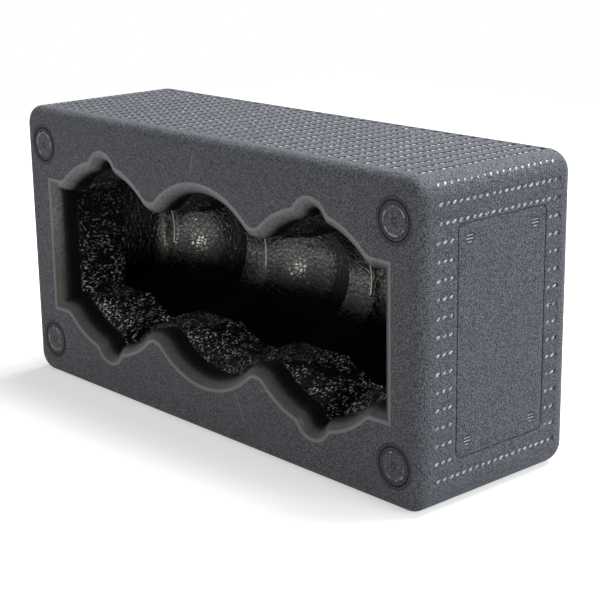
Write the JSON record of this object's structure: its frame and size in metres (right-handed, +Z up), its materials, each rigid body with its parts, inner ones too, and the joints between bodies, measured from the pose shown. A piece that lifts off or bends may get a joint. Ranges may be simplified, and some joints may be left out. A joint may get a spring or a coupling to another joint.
{
  "type": "yoga block",
  "caption": "Rectangular bead-foam yoga block with grooved narrow sides and a lobed hollow in one broad side that holds massage balls.",
  "frame": {"origin": "middle of the long narrow side that the block stands on", "axes": "+X along the block's length, towards the end with the bordered panel; +Y from the open side to the back; +Z up"},
  "size_m": [0.3, 0.1, 0.15],
  "materials": {
    "bead_foam": "charcoal moulded bead foam, matt and finely grained outside, darker and slightly glossy skin inside the hollow"
  },
  "bodies": {
    "root": {"foam_block": "bead_foam"}
  },
  "joints": []
}
